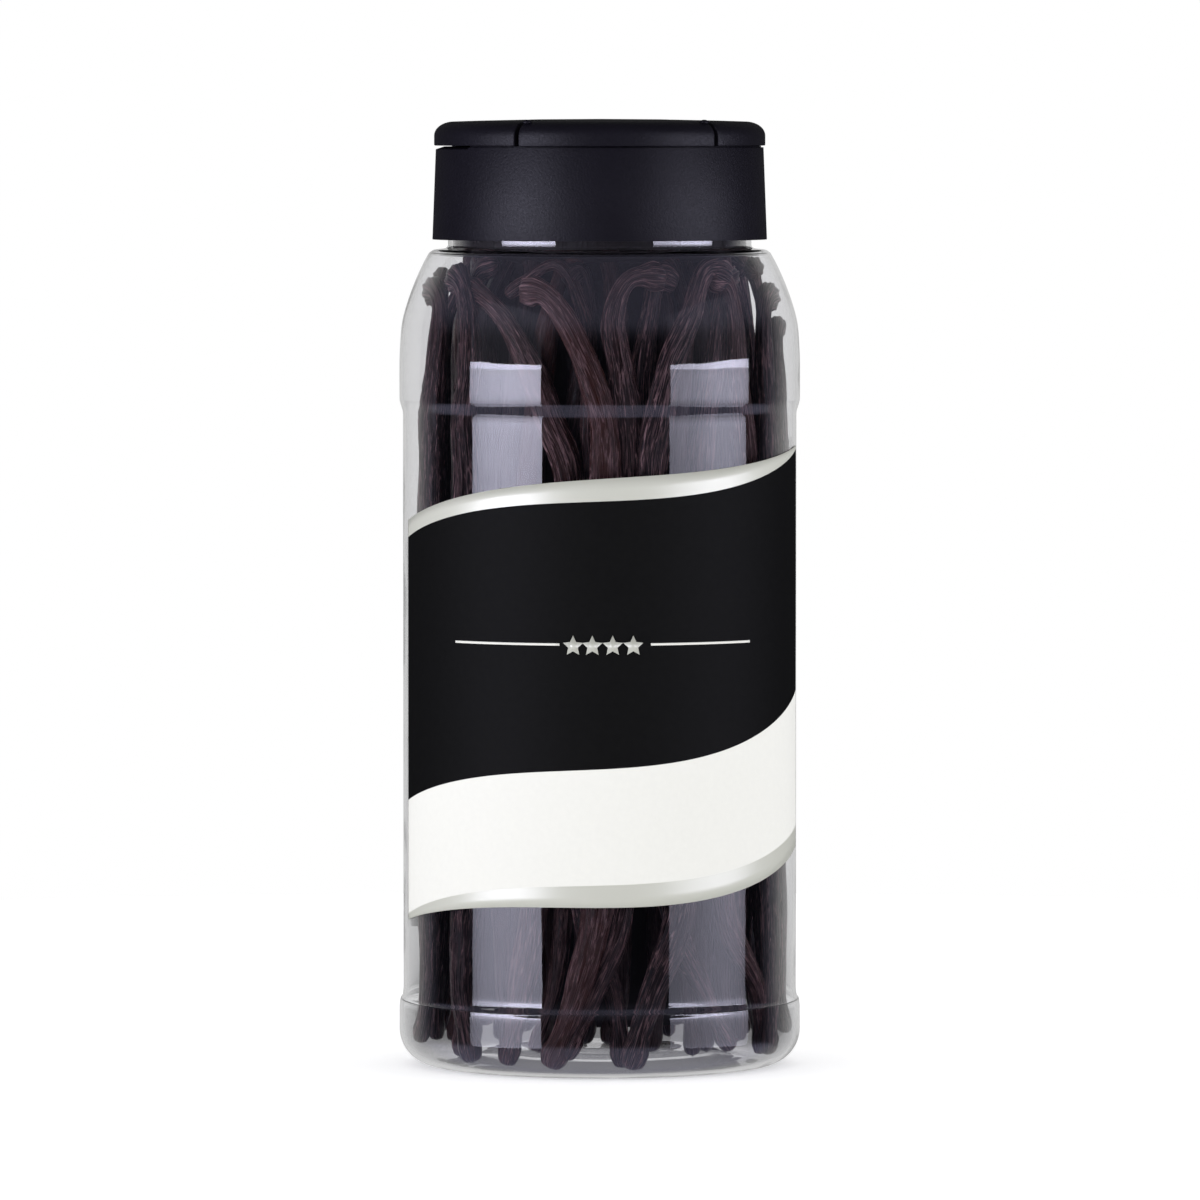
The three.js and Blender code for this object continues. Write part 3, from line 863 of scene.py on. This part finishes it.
def studio():
    """A white backdrop to look at, grey studio walls beside it, and a dark room behind the camera."""
    world = bpy.data.worlds.new("studio")
    world.use_nodes = True
    tree = world.node_tree
    tree.nodes.clear()
    path = add(tree, "ShaderNodeLightPath")
    place = add(tree, "ShaderNodeTexCoord").outputs["Generated"]
    axes = add(tree, "ShaderNodeSeparateXYZ", {"Vector": place})

    def fade(axis, start, end, low, high):
        return add(tree, "ShaderNodeMapRange", {
            "Value": axes.outputs[axis], "From Min": start, "From Max": end, "To Min": low, "To Max": high,
        }, interpolation_type="SMOOTHSTEP").outputs[0]

    def choose(factor, no, yes):
        return add(tree, "ShaderNodeMix", {0: factor, 2: no, 3: yes}).outputs[0]

    # Through the jar: white straight ahead, greyer to the sides and near the table
    ahead = fade("Y", 0.2, 0.88, 0.22, 1.0)
    table = fade("Z", -0.092, -0.066, 0.24, 1.0)
    through = add(tree, "ShaderNodeMath", {0: ahead, 1: table}, operation="MULTIPLY").outputs[0]
    seen = choose(path.outputs["Is Camera Ray"], through, 1.0)
    lit = choose(path.outputs["Is Diffuse Ray"], seen, 0.79)
    # In the jar's clear mirror: the backdrop, a dim ceiling and the table. In duller mirrors: less of it
    backdrop = fade("Y", 0.3, 0.9, 0.02, 0.62)
    ceiling = fade("Z", 0.0, 0.45, 0.0, 0.28)
    table_top = fade("Z", -0.15, -0.4, 0.0, 0.45)
    above = add(tree, "ShaderNodeMath", {0: backdrop, 1: ceiling}, operation="MAXIMUM").outputs[0]
    clear = add(tree, "ShaderNodeMath", {0: above, 1: table_top}, operation="MAXIMUM").outputs[0]
    dull = add(tree, "ShaderNodeMath", {0: clear, 1: 0.09}, operation="MULTIPLY").outputs[0]
    mirrored = choose(path.outputs["Is Singular Ray"], dull, clear)
    is_mirrored = add(tree, "ShaderNodeMath", {
        0: path.outputs["Glossy Depth"], 1: 0.5,
    }, operation="GREATER_THAN")
    level = choose(is_mirrored.outputs[0], lit, mirrored)
    behind = fade("Y", 0.3, 0.7, 0.0, 1.0)
    bluish = add(tree, "ShaderNodeMix", {
        0: behind, 6: linear("#dcdaff"), 7: linear("#ffffff"),
    }, data_type="RGBA")
    tint = add(tree, "ShaderNodeMix", {
        0: is_mirrored.outputs[0], 6: (1, 1, 1, 1), 7: bluish.outputs[2],
    }, data_type="RGBA")
    light = add(tree, "ShaderNodeBackground", {"Color": tint.outputs[2], "Strength": level})
    add(tree, "ShaderNodeOutputWorld", {"Surface": light.outputs[0]})
    bpy.context.scene.world = world


def camera():
    lens = bpy.data.cameras.new("camera")
    lens.lens = LENS
    lens.sensor_width = SENSOR
    lens.clip_end = 20
    eye = bpy.data.objects.new("camera", lens)
    eye.location = EYE
    eye.rotation_euler = (AIM - EYE).to_track_quat("-Z", "Y").to_euler()
    bpy.context.scene.collection.objects.link(eye)
    bpy.context.scene.camera = eye


def view_settings():
    scene = bpy.context.scene
    scene.view_settings.view_transform = "Standard"
    scene.cycles.max_bounces = 16
    scene.cycles.transmission_bounces = 14
    scene.cycles.glossy_bounces = 6
    scene.cycles.diffuse_bounces = 4
    scene.cycles.transparent_max_bounces = 16


camera()
view_settings()
studio()
floor()
jar()
cap_pieces = cap(grained_polypropylene())
softbox("softbox_left", **LEFT_SOFTBOX)
softbox("softbox_right", **RIGHT_SOFTBOX)
softbox("softbox_left_upper", **LEFT_UPPER, only=cap_pieces)
softbox("softbox_right_upper", **RIGHT_UPPER, only=cap_pieces)
silver = stretched_foil()
white = printed_film("white_ink", "#dfdfd6", roughness=0.6, gloss=0.1, unevenness=0.01)
black = printed_film("black_ink", "#101010", roughness=0.6, gloss=0.08, unevenness=0.08)
reverse = printed_film("film_reverse", "#4a4b47", roughness=0.6, gloss=0.3, unevenness=0.05)
label(
    "label_front_film", "label_front", FRONT_LABEL, front_lines, (silver, white, black), reverse,
    extra=add_rule_and_stars,
)
label("label_back_film", "label_back", BACK_LABEL, back_lines, (silver, white, black), reverse)
pods()
